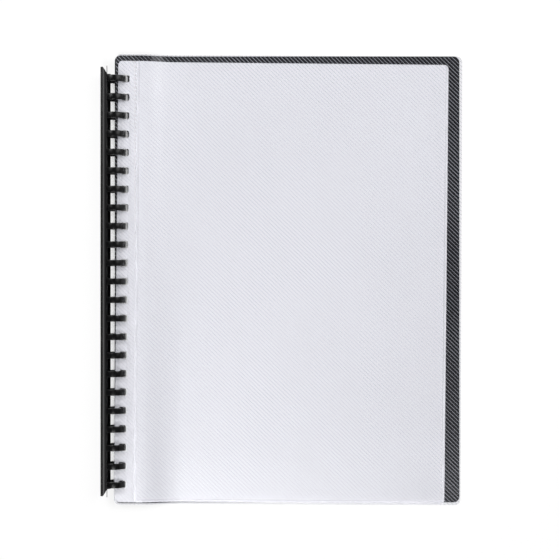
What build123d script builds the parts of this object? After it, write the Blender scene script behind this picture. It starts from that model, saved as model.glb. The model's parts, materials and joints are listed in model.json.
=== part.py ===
from build123d import *
import math
import os

# A refillable A4 display book, closed and lying on its back cover.
# X runs from the binding to the fore edge, Y up the page and Z up from the table.
# The origin is under the middle of the back cover, on the table. Sizes are in millimetres.

# Covers
cover_width = 239.0
cover_height = 310.0
cover_thickness = 0.6
cover_corner_radius = 4.0
cover_hole_margin = 6.35
cover_rise = 1.4
crease_margin = 14.5
crease_width = 1.2
crease_depth = 0.25

# Pockets: two films welded on three sides and open at the top
pocket_count = 20
pocket_width = 228.0
pocket_height = 304.0
pocket_corner_radius = 3.0
pocket_hole_margin = 5.2
film_thickness = 0.06
pocket_slit = 0.03
seam_margin = 13.0
weld_width = 2.0

# Room between the leaves of the closed book
leaf_gap = 0.08
back_leaf_gap = 0.15
front_leaf_gap = 0.2

# The leaves slope down from the binding strip to lie flat on the table
ramp_length = 30.0

# Rings
ring_count = 23
ring_pitch = 12.7
ring_outer_radius = 8.0
ring_thickness = 1.8
ring_width = 4.2
ring_edge_radius = 0.5

# Punched holes, the room a drooping leaf leaves between its last hole and the ring,
# and how far the loose front cover has slid towards the fore edge
hole_slack = 1.7
hole_end_slack = 0.5
hole_corner_radius = 1.4
pocket_droop_clearance = 0.35
front_cover_droop_clearance = 1.1
front_cover_slide = 0.6

# Spine of the ring comb, and the bead that the locking bar turns on
comb_length = 288.0
spine_start_angle = 197.0
spine_stop_angle = 240.0
spine_proud = 0.1
bead_radius = 1.0
bead_offset = 7.5
neck_width = 1.0

# Locking bar, with a thin edge over the ring tips and a catch ridge under that edge
bar_length = 296.0
bar_thickness = 1.4
bar_edge_angle = 123.0
bar_step_angle = 140.0
bar_back_angle = 174.0
bar_end_taper = 5.0
socket_clearance = 0.04
socket_wall = 0.9
socket_start_angle = -52.0
socket_stop_angle = 172.0
tip_clearance = 0.08
tip_end_room = 0.3
catch_width = 1.4
catch_height = 0.3
catch_room = 0.2

ring_inner_radius = ring_outer_radius - ring_thickness
ring_middle_radius = ring_outer_radius - ring_thickness / 2
ring_row_half = (ring_count - 1) * ring_pitch / 2
ring_rows = [i * ring_pitch - ring_row_half for i in range(ring_count)]

# Height of each leaf's underside where it lies flat, from the back cover up
pocket_thickness = 2 * film_thickness + pocket_slit
pocket_pitch = pocket_thickness + leaf_gap
last_pocket_base = cover_thickness + back_leaf_gap
front_cover_base = last_pocket_base + pocket_count * pocket_pitch - leaf_gap + front_leaf_gap
book_thickness = front_cover_base + cover_thickness

# The binding strip is raised until the closed leaves are level with the ring axis
ring_axis_z = ring_outer_radius
strip_lift = ring_axis_z - book_thickness / 2


def hole_reach(height):
    """Return how far from the ring axis the rings pass through a leaf lying at this height."""
    return math.sqrt(ring_middle_radius**2 - (strip_lift + height - ring_axis_z) ** 2)


# The covers are as far below the ring axis as above it, and the pockets share one punching
cover_reach = hole_reach(cover_thickness / 2)
pocket_reach = (ring_middle_radius + hole_reach(last_pocket_base)) / 2

# The middle of the back cover is over the origin, which places the ring axis
ring_axis_x = cover_hole_margin - cover_width / 2 - cover_reach
ring_place = Pos(ring_axis_x, 0, ring_axis_z)
crease_x = crease_margin - cover_width / 2
far = cover_width + cover_height


def droop(clearance):
    """Return the angle at which a loose leaf hangs with this much room at its last hole."""
    return math.degrees(math.asin((hole_slack - clearance) / ring_row_half))


def arc_band(inner, outer, start, stop):
    """Return the flat band between two radii and two angles."""
    inner_arc = CenterArc((0, 0), inner, start, stop - start)
    outer_arc = CenterArc((0, 0), outer, start, stop - start)
    first_side = Line(inner_arc @ 0, outer_arc @ 0)
    last_side = Line(inner_arc @ 1, outer_arc @ 1)
    return make_face([inner_arc, outer_arc, first_side, last_side])


def along_spine(profile, length):
    """Return a cross-section of the spine, drawn round the ring axis, at its full length."""
    return ring_place * extrude(Plane.XZ * profile, amount=length / 2, both=True)


def leaf_surface(height):
    """Return the lines of a leaf seen end on: level, sloping down in two bends, level again."""
    strip_end = (crease_x, height + strip_lift)
    ramp_middle = (crease_x + ramp_length / 2, height + strip_lift / 2)
    ramp_end = (crease_x + ramp_length, height)
    return [
        Line((-far, height + strip_lift), strip_end),
        TangentArc(strip_end, ramp_middle, tangent=(1, 0)),
        TangentArc(ramp_end, ramp_middle, tangent=(-1, 0)),
        Line(ramp_end, (far, height)),
    ]


def leaf(plan, thickness, reach, droop_angle):
    """Return a leaf on the table, cut to a plan that is drawn round the middle of its holes."""
    ends = [
        Line((-far, strip_lift), (-far, strip_lift + thickness)),
        Line((far, 0), (far, thickness)),
    ]
    section = make_face(leaf_surface(0) + leaf_surface(thickness) + ends)
    slab = extrude(Plane.XZ * section, amount=far, both=True)
    place = Pos(ring_axis_x + reach, 0) * Rot(0, 0, -droop_angle)
    return slab & extrude(place * plan, amount=far, both=True)


def leaf_outline(width, height, margin, rise, corner_radius):
    """Return a round-cornered outline whose holes are a margin from its binding edge."""
    return Pos(width / 2 - margin, rise) * RectangleRounded(width, height, corner_radius)


def punched_holes():
    """Return the row of holes that the rings pass through."""
    hole_width = ring_thickness + 2 * hole_slack
    hole_height = ring_width + 2 * hole_end_slack
    hole = RectangleRounded(hole_width, hole_height, hole_corner_radius)
    return Sketch() + [Pos(0, y) * hole for y in ring_rows]


def cover(slide, droop_angle, crease_height):
    """Return a cover: a punched sheet, scored beside the binding strip so that it folds."""
    outline = leaf_outline(
        cover_width, cover_height, cover_hole_margin, cover_rise, cover_corner_radius
    )
    sheet = leaf(outline - punched_holes(), cover_thickness, cover_reach + slide, droop_angle)
    half = crease_width / 2
    score = Polygon((-half, 0), (0, -crease_depth), (half, 0), (0, crease_depth), align=None)
    score_place = Pos(crease_x - crease_width, 0, strip_lift + crease_height)
    return sheet - score_place * extrude(Plane.XZ * score, amount=far, both=True)


def pocket_films():
    """Return a pocket's back film, and its front film with the welds that join them."""
    angle = droop(pocket_droop_clearance)
    outline = leaf_outline(pocket_width, pocket_height, pocket_hole_margin, 0, pocket_corner_radius)
    back_film = leaf(outline - punched_holes(), film_thickness, pocket_reach, angle)

    binding_strip = Pos(seam_margin - pocket_hole_margin - far, 0) * Rectangle(2 * far, 2 * far)
    front_film = leaf(outline - binding_strip, pocket_slit + film_thickness, pocket_reach, angle)
    mouth_width = pocket_width - seam_margin - 2 * weld_width
    mouth_left = seam_margin + weld_width - pocket_hole_margin
    mouth_bottom = weld_width - pocket_height / 2
    corner = (Align.MIN, Align.MIN)
    mouth = Pos(mouth_left, mouth_bottom) * Rectangle(mouth_width, far, align=corner)
    front_film = front_film - leaf(mouth, pocket_slit, pocket_reach, angle)
    return back_film, Pos(0, 0, film_thickness) * front_film


def catch_angles(room):
    """Return the angles between which the catch lies, with some room at each side."""
    middle = (bar_edge_angle + bar_step_angle) / 2
    half = math.degrees((catch_width / 2 + room) / ring_middle_radius)
    return middle - half, middle + half


def ring():
    """Return one ring, from inside the spine round to the thin tip under the bar's edge."""
    start = (spine_start_angle + spine_stop_angle) / 2 - 360
    stop = bar_step_angle - math.degrees(tip_end_room / ring_inner_radius)
    section = RectangleRounded(ring_thickness, ring_width, ring_edge_radius)
    section = Pos(ring_middle_radius, 0) * section
    hoop = revolve(section, axis=Axis((0, 0, 0), (0, -1, 0)), revolution_arc=stop - start)
    step_start = bar_edge_angle - math.degrees(tip_end_room / ring_outer_radius)
    step = arc_band(ring_middle_radius, 2 * ring_outer_radius, step_start, bar_step_angle)
    notch_radius = ring_middle_radius - catch_height - tip_clearance
    notch = arc_band(notch_radius, 2 * ring_outer_radius, *catch_angles(catch_room))
    return Rot(0, -start, 0) * hoop - extrude(Plane.XZ * (step + notch), amount=ring_width, both=True)


def ring_comb():
    """Return the comb: the lower half of the spine, its hinge bead and the row of rings."""
    inner = ring_inner_radius - spine_proud
    outer = ring_outer_radius + spine_proud
    spine = arc_band(inner, outer, spine_start_angle, spine_stop_angle)
    bead = Pos(-bead_offset, 0) * Circle(bead_radius)
    neck_drop = outer * math.sin(math.radians(spine_start_angle - 180)) + bead_radius
    neck = Pos(-bead_offset, -neck_drop / 2) * Rectangle(neck_width, neck_drop)
    profile = spine + bead + (neck & Circle(ring_outer_radius))
    hoop = ring()
    return along_spine(profile, comb_length) + [ring_place * Pos(0, y) * hoop for y in ring_rows]


def locking_bar():
    """Return the bar that turns on the comb's bead and closes over the ring tips."""
    wall_radius = ring_outer_radius - bar_thickness
    edge_radius = ring_middle_radius + tip_clearance
    wall = arc_band(wall_radius, ring_outer_radius, bar_step_angle, bar_back_angle)
    edge = arc_band(edge_radius, ring_outer_radius, bar_edge_angle, bar_step_angle)
    catch = arc_band(ring_middle_radius - catch_height, ring_outer_radius, *catch_angles(0))
    socket_radius = bead_radius + socket_clearance
    socket = arc_band(socket_radius, socket_radius + socket_wall, socket_start_angle, socket_stop_angle)
    bead_place = Pos(-bead_offset, 0)
    profile = wall + edge + catch - bead_place * Circle(socket_radius) + bead_place * socket
    bar = along_spine(profile, bar_length)

    # Each end slants back from the hinge to the edge, which leaves a tab to pull on
    edge_x = ring_outer_radius * math.cos(math.radians(bar_edge_angle))
    half = bar_length / 2
    slant = Polygon((-bead_offset, half), (edge_x, half - bar_end_taper), (edge_x, half), align=None)
    cut = Pos(ring_axis_x, 0) * extrude(slant, amount=far, both=True)
    return bar - cut - mirror(cut, about=Plane.XZ)


nodes = {
    "back_cover": cover(0, 0, 0),
    "front_cover": Pos(0, 0, front_cover_base)
    * cover(front_cover_slide, droop(front_cover_droop_clearance), cover_thickness),
    "ring_comb": ring_comb(),
    "locking_bar": locking_bar(),
}
back_film, front_film = pocket_films()
for number in range(1, pocket_count + 1):
    # Pocket 1 lies under the front cover and the last one on the back cover
    place = Pos(0, 0, last_pocket_base + (pocket_count - number) * pocket_pitch)
    nodes[f"pocket_{number:02d}_back_film"] = place * back_film
    nodes[f"pocket_{number:02d}_front_film"] = place * front_film

os.makedirs("parts", exist_ok=True)
for name, solid in nodes.items():
    export_step(solid, f"parts/{name}.step")
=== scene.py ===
import json
import math

import bmesh
import bpy
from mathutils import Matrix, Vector

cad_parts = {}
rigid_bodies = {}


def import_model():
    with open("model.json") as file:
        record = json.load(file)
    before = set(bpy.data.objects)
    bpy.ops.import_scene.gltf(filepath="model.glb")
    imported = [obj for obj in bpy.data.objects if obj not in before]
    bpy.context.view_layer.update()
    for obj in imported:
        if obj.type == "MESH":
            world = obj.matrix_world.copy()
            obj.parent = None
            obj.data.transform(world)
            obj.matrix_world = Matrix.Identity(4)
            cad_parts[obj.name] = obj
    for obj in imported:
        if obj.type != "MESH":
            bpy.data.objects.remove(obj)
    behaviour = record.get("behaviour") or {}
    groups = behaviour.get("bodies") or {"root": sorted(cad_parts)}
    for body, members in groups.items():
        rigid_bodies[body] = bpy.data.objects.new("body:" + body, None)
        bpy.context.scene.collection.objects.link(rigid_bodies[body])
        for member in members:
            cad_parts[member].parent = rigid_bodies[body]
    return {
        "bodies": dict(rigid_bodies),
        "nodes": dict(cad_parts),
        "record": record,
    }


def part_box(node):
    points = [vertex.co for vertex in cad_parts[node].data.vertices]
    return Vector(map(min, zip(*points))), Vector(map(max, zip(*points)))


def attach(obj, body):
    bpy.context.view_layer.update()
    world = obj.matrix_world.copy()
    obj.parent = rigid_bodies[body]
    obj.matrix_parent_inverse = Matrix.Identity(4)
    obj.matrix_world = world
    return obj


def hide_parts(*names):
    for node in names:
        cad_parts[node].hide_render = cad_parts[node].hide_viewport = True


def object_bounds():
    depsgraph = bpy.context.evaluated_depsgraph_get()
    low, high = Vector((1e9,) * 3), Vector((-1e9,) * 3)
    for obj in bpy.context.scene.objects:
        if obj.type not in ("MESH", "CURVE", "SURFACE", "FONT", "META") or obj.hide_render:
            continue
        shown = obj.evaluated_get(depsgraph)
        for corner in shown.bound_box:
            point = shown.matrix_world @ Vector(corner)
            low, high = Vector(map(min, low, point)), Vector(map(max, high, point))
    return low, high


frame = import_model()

cad_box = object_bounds()


# The ring comb: 23 flat rings that curl up from one spine, with a round bead along its back edge.
# It is moulded in one piece from black polypropylene, and each ring ends in a thin notched tip.

MM = 0.001
scene = bpy.context.scene
mounts = {mount["name"]: mount for mount in frame["record"]["mounts"]}
ring_axis = Vector(mounts["refill_rings"]["pos_m"])
ring_count = 23
ring_pitch = 12.7 * MM
polypropylene_ior = 1.49


def linear(hex_colour):
    """Return an sRGB hex colour as a linear RGBA value."""
    channels = [int(hex_colour[i : i + 2], 16) / 255 for i in (1, 3, 5)]
    return [c / 12.92 if c <= 0.04045 else ((c + 0.055) / 1.055) ** 2.4 for c in channels] + [1.0]


def add_node(tree, kind, settings=None, inputs=None):
    """Add a node with its settings. An input is a value, or the output socket that feeds it."""
    node = tree.nodes.new(kind)
    for name, value in (settings or {}).items():
        setattr(node, name, value)
    for name, value in (inputs or {}).items():
        if isinstance(value, bpy.types.NodeSocket):
            tree.links.new(value, node.inputs[name])
        else:
            node.inputs[name].default_value = value
    return node


def new_material(name):
    """Return an empty material, its node tree and its Object coordinates."""
    material = bpy.data.materials.new(name)
    material.use_nodes = True
    tree = material.node_tree
    tree.nodes.clear()
    place = add_node(tree, "ShaderNodeTexCoord").outputs["Object"]
    return material, tree, place


def moulded_polypropylene():
    """Black moulded polypropylene: satin, with an eroded grain and faint streaks along the flow."""
    # The real grain is finer than a pixel, so it is drawn coarser and deeper here
    grain_size = 1.4 * MM
    streak_length = 40 * MM
    streak_width = 2.5 * MM
    material, tree, place = new_material("moulded_polypropylene")
    grain = add_node(
        tree, "ShaderNodeTexNoise", inputs={"Vector": place, "Scale": 1 / grain_size, "Detail": 3.0}
    )
    bump = add_node(
        tree,
        "ShaderNodeBump",
        inputs={"Height": grain.outputs["Fac"], "Strength": 0.35, "Distance": 0.06 * MM},
    )
    flow = add_node(
        tree,
        "ShaderNodeMapping",
        inputs={"Vector": place, "Scale": (1 / streak_width, 1 / streak_length, 1 / streak_width)},
    )
    streaks = add_node(tree, "ShaderNodeTexNoise", inputs={"Vector": flow.outputs[0], "Scale": 1.0})
    roughness = add_node(
        tree,
        "ShaderNodeMapRange",
        inputs={"Value": streaks.outputs["Fac"], "To Min": 0.22, "To Max": 0.34},
    )
    shader = add_node(
        tree,
        "ShaderNodeBsdfPrincipled",
        inputs={
            "Base Color": linear("#060607"),
            "Roughness": roughness.outputs["Result"],
            "IOR": polypropylene_ior,
            "Specular IOR Level": 0.3,
            "Normal": bump.outputs["Normal"],
        },
    )
    add_node(tree, "ShaderNodeOutputMaterial", inputs={"Surface": shader.outputs[0]})
    return material


def arc_bar(tree, inner, outer, start, stop, width, edge_radius):
    """Add nodes for a bar bent to an arc between two angles, and return it in the XZ plane."""
    segment_angle = 5
    arc = add_node(
        tree,
        "GeometryNodeCurveArc",
        inputs={
            "Resolution": max(6, round((stop - start) / segment_angle)),
            "Radius": (inner + outer) / 2,
            "Start Angle": math.radians(start),
            "Sweep Angle": math.radians(stop - start),
        },
    )
    section = add_node(
        tree,
        "GeometryNodeCurvePrimitiveQuadrilateral",
        inputs={"Width": outer - inner, "Height": width},
    )
    rounded = add_node(
        tree,
        "GeometryNodeFilletCurve",
        {"mode": "POLY"},
        {"Curve": section.outputs[0], "Count": 4, "Radius": edge_radius},
    )
    bar = add_node(
        tree,
        "GeometryNodeCurveToMesh",
        inputs={"Curve": arc.outputs[0], "Profile Curve": rounded.outputs[0], "Fill Caps": True},
    )
    turned = add_node(
        tree,
        "GeometryNodeTransform",
        inputs={"Geometry": bar.outputs[0], "Rotation": (math.pi / 2, 0, 0)},
    )
    return turned.outputs[0]


def comb_tree(material):
    """Return the node tree of the ring comb, with the row of rings as its named inputs."""
    inner = 6.2 * MM
    outer = 8.0 * MM
    step = 7.1 * MM
    notch = 6.72 * MM
    ring_width = 4.2 * MM
    comb_length = 288 * MM
    spine_proud = 0.1 * MM
    bead_offset = 7.5 * MM
    bead_radius = 1.0 * MM
    ring_edge, step_edge, tip_edge = 0.5 * MM, 0.25 * MM, 0.2 * MM
    spine_edge, neck_edge = 0.35 * MM, 0.1 * MM
    root_angle, shoulder_angle, notch_angle, tip_angle = -141.5, 120.8, 124.3, 137.2
    neck_start, neck_stop, spine_start, spine_stop = 184, 199, 197, 240
    overlap_angle = 1

    tree = bpy.data.node_groups.new("ring_comb_nodes", "GeometryNodeTree")
    tree.interface.new_socket("Ring Count", in_out="INPUT", socket_type="NodeSocketInt")
    tree.interface.new_socket("Ring Pitch", in_out="INPUT", socket_type="NodeSocketVector")
    tree.interface.new_socket("First Ring", in_out="INPUT", socket_type="NodeSocketVector")
    tree.interface.new_socket("Geometry", in_out="OUTPUT", socket_type="NodeSocketGeometry")
    sizes = add_node(tree, "NodeGroupInput").outputs

    ring = add_node(tree, "GeometryNodeJoinGeometry")
    ring_pieces = [
        arc_bar(tree, inner, outer, root_angle, shoulder_angle, ring_width, ring_edge),
        arc_bar(tree, inner, step, shoulder_angle - overlap_angle, notch_angle, ring_width, step_edge),
        arc_bar(tree, inner, notch, notch_angle - overlap_angle, tip_angle, ring_width, tip_edge),
    ]
    for piece in ring_pieces:
        tree.links.new(piece, ring.inputs[0])
    row = add_node(
        tree,
        "GeometryNodeMeshLine",
        inputs={
            "Count": sizes["Ring Count"],
            "Start Location": sizes["First Ring"],
            "Offset": sizes["Ring Pitch"],
        },
    )
    rings = add_node(
        tree,
        "GeometryNodeInstanceOnPoints",
        inputs={"Points": row.outputs[0], "Instance": ring.outputs[0]},
    )

    bead = add_node(
        tree,
        "GeometryNodeMeshCylinder",
        inputs={"Vertices": 24, "Radius": bead_radius, "Depth": comb_length},
    )
    bead_place = add_node(
        tree,
        "GeometryNodeTransform",
        inputs={
            "Geometry": bead.outputs[0],
            "Rotation": (math.pi / 2, 0, 0),
            "Translation": (-bead_offset, 0, 0),
        },
    )
    wall_inner = inner - spine_proud
    wall_outer = outer + spine_proud
    comb = add_node(tree, "GeometryNodeJoinGeometry")
    comb_pieces = [
        arc_bar(tree, wall_inner, wall_outer, spine_start, spine_stop, comb_length, spine_edge),
        arc_bar(tree, step, outer, neck_start, neck_stop, comb_length, neck_edge),
        bead_place.outputs[0],
        rings.outputs[0],
    ]
    for piece in comb_pieces:
        tree.links.new(piece, comb.inputs[0])
    placed = add_node(
        tree, "GeometryNodeTransform", inputs={"Geometry": comb.outputs[0], "Translation": ring_axis}
    )
    whole = add_node(tree, "GeometryNodeRealizeInstances", inputs={"Geometry": placed.outputs[0]})
    dressed = add_node(
        tree, "GeometryNodeSetMaterial", inputs={"Geometry": whole.outputs[0], "Material": material}
    )
    add_node(tree, "NodeGroupOutput", inputs={0: dressed.outputs[0]})
    return tree


def mesh_from_tree(tree, settings):
    """Return the plain mesh that a node tree makes with these values for its named inputs."""
    maker = bpy.data.objects.new("maker", bpy.data.meshes.new("maker"))
    scene.collection.objects.link(maker)
    modifier = maker.modifiers.new("nodes", "NODES")
    modifier.node_group = tree
    for item in tree.interface.items_tree:
        if item.in_out == "INPUT":
            modifier[item.identifier] = settings[item.name]
    depsgraph = bpy.context.evaluated_depsgraph_get()
    mesh = bpy.data.meshes.new_from_object(maker.evaluated_get(depsgraph))
    bpy.data.objects.remove(maker)
    return mesh


def add_piece(name, mesh, body, slot, *replaced, crease_angle=30):
    """Put a finished mesh in the scene, riding on its body and standing for CAD nodes."""
    mesh.name = name
    mesh.shade_smooth()
    mesh.set_sharp_from_angle(angle=math.radians(crease_angle))
    piece = bpy.data.objects.new(name, mesh)
    scene.collection.objects.link(piece)
    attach(piece, body)
    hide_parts(*replaced)
    return piece


moulding = moulded_polypropylene()
comb_mesh = mesh_from_tree(
    comb_tree(moulding),
    {
        "Ring Count": ring_count,
        "Ring Pitch": (0, ring_pitch, 0),
        "First Ring": (0, -(ring_count - 1) * ring_pitch / 2, 0),
    },
)
add_piece("ring_comb_moulding", comb_mesh, "ring_comb", "black_moulding", "ring_comb")


# The locking bar: a long curved strip whose socket snaps on the comb's bead.
# It is moulded from the same black polypropylene, and swings shut over the ring tips.


def merged_shape(node_name):
    """Return a CAD node's shape as a bmesh, with its loose triangles joined."""
    shape = bmesh.new()
    shape.from_mesh(frame["nodes"][node_name].data)
    bmesh.ops.remove_doubles(shape, verts=shape.verts, dist=0.001 * MM)
    return shape


def as_mesh(shape, *materials):
    """Turn a bmesh into a mesh with these materials."""
    mesh = bpy.data.meshes.new("shape")
    shape.to_mesh(mesh)
    shape.free()
    for material in materials:
        mesh.materials.append(material)
    return mesh


flat_angle = math.radians(0.5)
sharp_angle = math.radians(40)
edge_bevel = 0.18 * MM
bar_shape = merged_shape("locking_bar")
bmesh.ops.dissolve_limit(
    bar_shape, angle_limit=flat_angle, verts=bar_shape.verts, edges=bar_shape.edges
)
sharp = [e for e in bar_shape.edges if e.is_manifold and e.calc_face_angle() > sharp_angle]
bmesh.ops.bevel(
    bar_shape,
    geom=sharp,
    offset=edge_bevel,
    offset_type="OFFSET",
    segments=2,
    profile=0.5,
    affect="EDGES",
)
bar_mesh = as_mesh(bar_shape, moulding)
add_piece("locking_bar_moulding", bar_mesh, "locking_bar", "black_moulding", "locking_bar")


# The back cover: a stiff black sheet, punched and scored beside the rings.
# It is die cut from extruded polypropylene, embossed with fine diagonal lines on its outer face.

line_spacing = 2.0 * MM
line_angle = math.radians(-44)
groove_width = 1.1 * MM
groove_depth = 0.06 * MM
binding_strip = 14.5 * MM
bend_length = 30 * MM
bend_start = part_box("back_cover")[0][0] + binding_strip
bend_stop = bend_start + bend_length
upright = 0.7


def cut_across(shape, parts, place, direction):
    """Cut some faces of a shape along a plane, and return the pieces as bmesh gives them."""
    geometry = set(parts)
    geometry.update(edge for face in parts for edge in face.edges)
    geometry.update(vert for face in parts for vert in face.verts)
    return bmesh.ops.bisect_plane(
        shape, geom=list(geometry), dist=0.0005 * MM, plane_co=place, plane_no=direction
    )


def brace_bends(shape):
    """Cut a leaf just outside its two bends, so that smooth shading leaves its level parts flat."""
    brace_gap = 0.4 * MM
    for at in (bend_start - brace_gap, bend_stop + brace_gap):
        cut_across(shape, shape.faces[:], Vector((at, 0, 0)), Vector((1, 0, 0)))


def emboss_lines(shape, side):
    """Press lines into a sheet's top (side 1) or underside (-1), which gets the second material."""
    across = Vector((-math.sin(line_angle), math.cos(line_angle), 0))
    shape.normal_update()
    waiting = [f for f in shape.faces if f.normal.z * side > upright]
    for face in waiting:
        face.material_index = 1
    offsets = [v.co.dot(across) for f in waiting for v in f.verts]
    first = math.floor(min(offsets) / line_spacing)
    last = math.ceil(max(offsets) / line_spacing)
    bottoms = []
    for line in range(first, last + 1):
        for offset in (0, groove_width / 2, groove_width):
            at = line * line_spacing + offset
            cut = cut_across(shape, waiting, across * at, across)
            waiting = [
                f
                for f in cut["geom"]
                if isinstance(f, bmesh.types.BMFace) and f.calc_center_median().dot(across) > at
            ]
            if offset == groove_width / 2:
                bottoms += [v for v in cut["geom_cut"] if isinstance(v, bmesh.types.BMVert)]
    for vert in set(bottoms):
        if vert.is_valid:
            vert.co.z -= side * groove_depth


def black_sheet(name, least_roughness, most_roughness):
    """Black extruded polypropylene: dark, with a soft sheen that its calendered grain breaks up."""
    # The real grain is finer than a pixel, so it is drawn coarser and deeper here
    grain_size = 1.6 * MM
    cloud_size = 60 * MM
    material, tree, place = new_material(name)
    grain = add_node(
        tree, "ShaderNodeTexNoise", inputs={"Vector": place, "Scale": 1 / grain_size, "Detail": 2.0}
    )
    bump = add_node(
        tree,
        "ShaderNodeBump",
        inputs={"Height": grain.outputs["Fac"], "Strength": 0.3, "Distance": 0.06 * MM},
    )
    clouds = add_node(tree, "ShaderNodeTexNoise", inputs={"Vector": place, "Scale": 1 / cloud_size})
    roughness = add_node(
        tree,
        "ShaderNodeMapRange",
        inputs={"Value": clouds.outputs["Fac"], "To Min": least_roughness, "To Max": most_roughness},
    )
    shader = add_node(
        tree,
        "ShaderNodeBsdfPrincipled",
        inputs={
            "Base Color": linear("#0a0b10"),
            "Roughness": roughness.outputs["Result"],
            "IOR": polypropylene_ior,
            "Normal": bump.outputs["Normal"],
        },
    )
    add_node(tree, "ShaderNodeOutputMaterial", inputs={"Surface": shader.outputs[0]})
    return material


sheet_crease = 15
back_shape = merged_shape("back_cover")
brace_bends(back_shape)
emboss_lines(back_shape, -1)
smooth_black = black_sheet(
    "smooth_black_polypropylene", least_roughness=0.2, most_roughness=0.3
)
embossed_black = black_sheet(
    "embossed_black_polypropylene", least_roughness=0.34, most_roughness=0.46
)
back_mesh = as_mesh(back_shape, smooth_black, embossed_black)
add_piece(
    "back_cover_sheet", back_mesh, "back_cover", "black_cover", "back_cover", crease_angle=sheet_crease
)


# The pockets: 20 leaves of two thin films, welded on three sides and open at the top.
# The film is cast polypropylene with a light haze, so a stack of pockets looks white.

weld_width = 2.0 * MM


def film_material(name, colour, haze, ripple_size, ripple_height):
    """Cast polypropylene film: clear with a white haze, and a gloss that its ripples break up."""
    material, tree, place = new_material(name)
    ripples = add_node(
        tree, "ShaderNodeTexNoise", inputs={"Vector": place, "Scale": 1 / ripple_size, "Detail": 2.0}
    )
    bump = add_node(
        tree,
        "ShaderNodeBump",
        inputs={"Height": ripples.outputs["Fac"], "Strength": 1.0, "Distance": ripple_height},
    )
    roughness = add_node(
        tree,
        "ShaderNodeMapRange",
        inputs={"Value": ripples.outputs["Fac"], "To Min": 0.25, "To Max": 0.45},
    )
    film = add_node(
        tree,
        "ShaderNodeBsdfPrincipled",
        inputs={
            "Base Color": linear(colour),
            "Roughness": roughness.outputs["Result"],
            "IOR": polypropylene_ior,
            "Alpha": haze,
            "Normal": bump.outputs["Normal"],
        },
    )
    add_node(tree, "ShaderNodeOutputMaterial", inputs={"Surface": film.outputs[0]})
    return material


def mark_welds(shape):
    """Give the weld along the sides and bottom of the front film the second material."""
    # The leaf hangs a little out of square, so its right-hand wall gives the directions
    shape.normal_update()
    walls = [f for f in shape.faces if f.normal.x > upright]
    out = max(walls, key=lambda face: face.calc_area()).normal.copy()
    up = Vector((-out.y, out.x, 0))
    corners = [v.co.copy() for v in shape.verts]
    limits = [
        (direction, max(corner.dot(direction) for corner in corners) - weld_width)
        for direction in (out, -out, -up)
    ]
    for direction, limit in limits:
        cut_across(shape, shape.faces[:], direction * limit, direction)
    for face in shape.faces:
        middle = face.calc_center_median()
        face.material_index = int(any(middle.dot(direction) > limit for direction, limit in limits))


def mark_rubbed(shape, right_limit):
    """Give the upper face of a film, left of a limit and between its welds, the third material."""
    shape.normal_update()
    for face in shape.faces:
        inside = face.calc_center_median().x < right_limit
        if inside and face.normal.z > upright and face.material_index == 0:
            face.material_index = 2


film_colour = "#f6f6f9"
film_ripple = {"ripple_size": 45 * MM, "ripple_height": 0.2 * MM}
weld_ripple = {"ripple_size": 4 * MM, "ripple_height": 0.02 * MM}
pocket_film = film_material("cast_polypropylene_film", film_colour, haze=0.06, **film_ripple)
pocket_weld = film_material("welded_polypropylene_film", "#fafafd", haze=0.3, **weld_ripple)
rubbed_film = film_material("rubbed_polypropylene_film", film_colour, haze=0.5, **film_ripple)
pocket_names = sorted(name for name in frame["bodies"] if name.startswith("pocket_"))
for name in pocket_names:
    back_film = merged_shape(f"{name}_back_film")
    front_film = merged_shape(f"{name}_front_film")
    brace_bends(back_film)
    brace_bends(front_film)
    mark_welds(front_film)
    finishes = [pocket_film, pocket_weld]
    if name == pocket_names[0]:
        # The front cover rubs on the first pocket
        mark_rubbed(front_film, cad_box[1][0])
        mark_rubbed(back_film, bend_start)
        finishes.append(rubbed_film)
    front_mesh = as_mesh(front_film)
    back_film.from_mesh(front_mesh)
    bpy.data.meshes.remove(front_mesh)
    pocket_mesh = as_mesh(back_film, *finishes)
    pocket = add_piece(
        f"{name}_films", pocket_mesh, name, "pocket_film", f"{name}_back_film", f"{name}_front_film"
    )
    # The film passes on most of the light that it scatters, so it leaves the next pocket lit
    pocket.visible_shadow = False
    pocket.visible_diffuse = False


# The front cover: a stiff clear sheet, punched and scored like the back one.
# It is die cut from extruded polypropylene, embossed with fine diagonal lines on its outer face.

plain_haze = 0.004


def pressed_lines(tree, place):
    """Add nodes for the white stress haze along the pressed lines. Return its share of the light."""
    # Real lines are fainter: at less than 3 pixels apart they need this much haze to show
    cloud_size = 70 * MM
    # The wave texture turns by this many radians in each unit of its scale
    wave_turn = 20
    clouds = add_node(tree, "ShaderNodeTexNoise", inputs={"Vector": place, "Scale": 1 / cloud_size})
    line_edge = add_node(
        tree,
        "ShaderNodeMapRange",
        inputs={
            "Value": clouds.outputs["Fac"],
            "From Min": 0.35,
            "From Max": 0.65,
            "To Min": 0.78,
            "To Max": 0.93,
        },
    )
    turned = add_node(
        tree,
        "ShaderNodeMapping",
        inputs={"Vector": place, "Rotation": (0, 0, -math.pi / 2 - line_angle)},
    )
    lines = add_node(
        tree,
        "ShaderNodeTexWave",
        inputs={
            "Vector": turned.outputs[0],
            "Scale": 2 * math.pi / (wave_turn * line_spacing),
            "Phase Offset": math.pi * (1 - groove_width / line_spacing),
        },
    )
    haze = add_node(
        tree,
        "ShaderNodeMapRange",
        inputs={
            "Value": lines.outputs["Fac"],
            "From Min": line_edge.outputs["Result"],
            "From Max": 0.98,
            "To Min": plain_haze,
            "To Max": 0.31,
        },
    )
    return haze.outputs["Result"]


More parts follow.
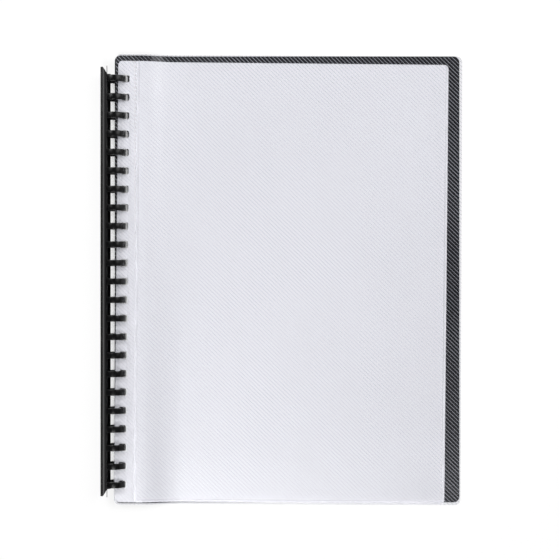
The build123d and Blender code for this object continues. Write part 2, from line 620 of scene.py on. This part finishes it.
def clear_sheet(name, embossed):
    """Clear extruded polypropylene: see-through with a soft gloss, and hazy where it is embossed."""
    smear_size = 50 * MM
    material, tree, place = new_material(name)
    haze = pressed_lines(tree, place) if embossed else plain_haze
    clear = add_node(tree, "ShaderNodeBsdfTransparent", inputs={"Color": linear("#f3f3f5")})
    scatter = add_node(tree, "ShaderNodeBsdfDiffuse", inputs={"Color": linear("#e6e9f6")})
    body = add_node(
        tree, "ShaderNodeMixShader", inputs={"Fac": haze, 1: clear.outputs[0], 2: scatter.outputs[0]}
    )
    smears = add_node(tree, "ShaderNodeTexNoise", inputs={"Vector": place, "Scale": 1 / smear_size})
    roughness = add_node(
        tree,
        "ShaderNodeMapRange",
        inputs={"Value": smears.outputs["Fac"], "To Min": 0.2, "To Max": 0.28},
    )
    gloss = add_node(tree, "ShaderNodeBsdfGlossy", inputs={"Roughness": roughness.outputs["Result"]})
    # A ray leaves the thin sheet at the angle at which it came in, so both faces reflect alike
    facing = add_node(tree, "ShaderNodeNewGeometry")
    ior = add_node(
        tree,
        "ShaderNodeMapRange",
        inputs={
            "Value": facing.outputs["Backfacing"],
            "To Min": polypropylene_ior,
            "To Max": 1 / polypropylene_ior,
        },
    )
    fresnel = add_node(tree, "ShaderNodeFresnel", inputs={"IOR": ior.outputs["Result"]})
    sheet = add_node(
        tree,
        "ShaderNodeMixShader",
        inputs={"Fac": fresnel.outputs[0], 1: body.outputs[0], 2: gloss.outputs[0]},
    )
    add_node(tree, "ShaderNodeOutputMaterial", inputs={"Surface": sheet.outputs[0]})
    return material


front_shape = merged_shape("front_cover")
brace_bends(front_shape)
emboss_lines(front_shape, 1)
smooth_clear = clear_sheet("smooth_clear_polypropylene", embossed=False)
embossed_clear = clear_sheet("embossed_clear_polypropylene", embossed=True)
front_mesh = as_mesh(front_shape, smooth_clear, embossed_clear)
front_cover = add_piece(
    "front_cover_sheet",
    front_mesh,
    "front_cover",
    "clear_cover",
    "front_cover",
    crease_angle=sheet_crease,
)
# Clear plastic hardly shades what lies under it
front_cover.visible_shadow = False


# The studio: a white paper floor with a cove, three soft boxes and a camera above the book.
# A light path node keeps the open floor white to the eye, and the book still shades it.

scene.view_settings.view_transform = "Standard"
# A look straight down passes two faces of the cover and of each film
scene.cycles.transparent_max_bounces = 64


def paper_floor():
    """White paper: plain white in the open, shaded beside the book and dark under it."""
    own_light = 0.8
    covered_share = 0.03
    open_share = 0.09
    shelter_reach = 40 * MM
    material, tree, _ = new_material("white_paper")
    seen = add_node(tree, "ShaderNodeLightPath")
    direct = add_node(
        tree,
        "ShaderNodeMath",
        {"operation": "MAXIMUM"},
        {0: seen.outputs["Is Camera Ray"], 1: seen.outputs["Is Glossy Ray"]},
    )
    shown = add_node(
        tree,
        "ShaderNodeMath",
        {"operation": "MAXIMUM"},
        {0: direct.outputs[0], 1: seen.outputs["Is Transmission Ray"]},
    )
    shelter = add_node(
        tree, "ShaderNodeAmbientOcclusion", {"samples": 8}, {"Distance": shelter_reach}
    )
    glow_level = add_node(
        tree,
        "ShaderNodeMapRange",
        inputs={
            "Value": shelter.outputs["AO"],
            "From Min": covered_share,
            "From Max": open_share,
            "To Max": own_light,
        },
    )
    paper = add_node(tree, "ShaderNodeBsdfDiffuse", inputs={"Color": linear("#f0f0f0")})
    lamp_lit = add_node(tree, "ShaderNodeBsdfDiffuse", inputs={"Color": linear("#7c7c7c")})
    glow = add_node(tree, "ShaderNodeEmission", inputs={"Strength": glow_level.outputs["Result"]})
    white = add_node(tree, "ShaderNodeAddShader", inputs={0: lamp_lit.outputs[0], 1: glow.outputs[0]})
    surface = add_node(
        tree,
        "ShaderNodeMixShader",
        inputs={"Fac": shown.outputs[0], 1: paper.outputs[0], 2: white.outputs[0]},
    )
    add_node(tree, "ShaderNodeOutputMaterial", inputs={"Surface": surface.outputs[0]})
    return material


# Far from the book the paper curves up, so that low views end on it
floor_reach = 8.0
flat_reach = 5.0
cove_rise = 0.25
floor_shape = bmesh.new()
bmesh.ops.create_grid(floor_shape, x_segments=48, y_segments=48, size=floor_reach)
for vert in floor_shape.verts:
    vert.co.z = cove_rise * max(0, vert.co.length - flat_reach) ** 2
floor = bpy.data.objects.new("floor", as_mesh(floor_shape, paper_floor()))
scene.collection.objects.link(floor)

world = bpy.data.worlds.new("studio_room")
world.use_nodes = True
world.node_tree.nodes["Background"].inputs["Color"].default_value = linear("#ffffff")
world.node_tree.nodes["Background"].inputs["Strength"].default_value = 0.06
scene.world = world


def soft_box(name, place, width, depth, power):
    """Add a rectangular area light that points at the book."""
    light = bpy.data.lights.new(name, "AREA")
    light.shape = "RECTANGLE"
    light.size = width
    light.size_y = depth
    light.energy = power
    lamp = bpy.data.objects.new(name, light)
    lamp.location = place
    lamp.rotation_euler = (-Vector(place)).to_track_quat("-Z", "Y").to_euler()
    scene.collection.objects.link(lamp)


soft_box("front_box", place=(-0.12, -0.57, 1.0), width=0.4, depth=0.4, power=5.8)
soft_box("left_box", place=(-0.62, 0.7, 1.0), width=0.6, depth=0.6, power=10.0)
soft_box("right_box", place=(0.95, 0.6, 0.95), width=0.8, depth=1.0, power=10.3)

camera_height = 1.005
page_height = 0.005
frame_width = 0.3876
camera = bpy.data.cameras.new("camera")
camera.sensor_width = 36
camera.lens = camera.sensor_width * (camera_height - page_height) / frame_width
camera_object = bpy.data.objects.new("camera", camera)
camera_object.location = (-0.0052, 0.001, camera_height)
scene.collection.objects.link(camera_object)
scene.camera = camera_object
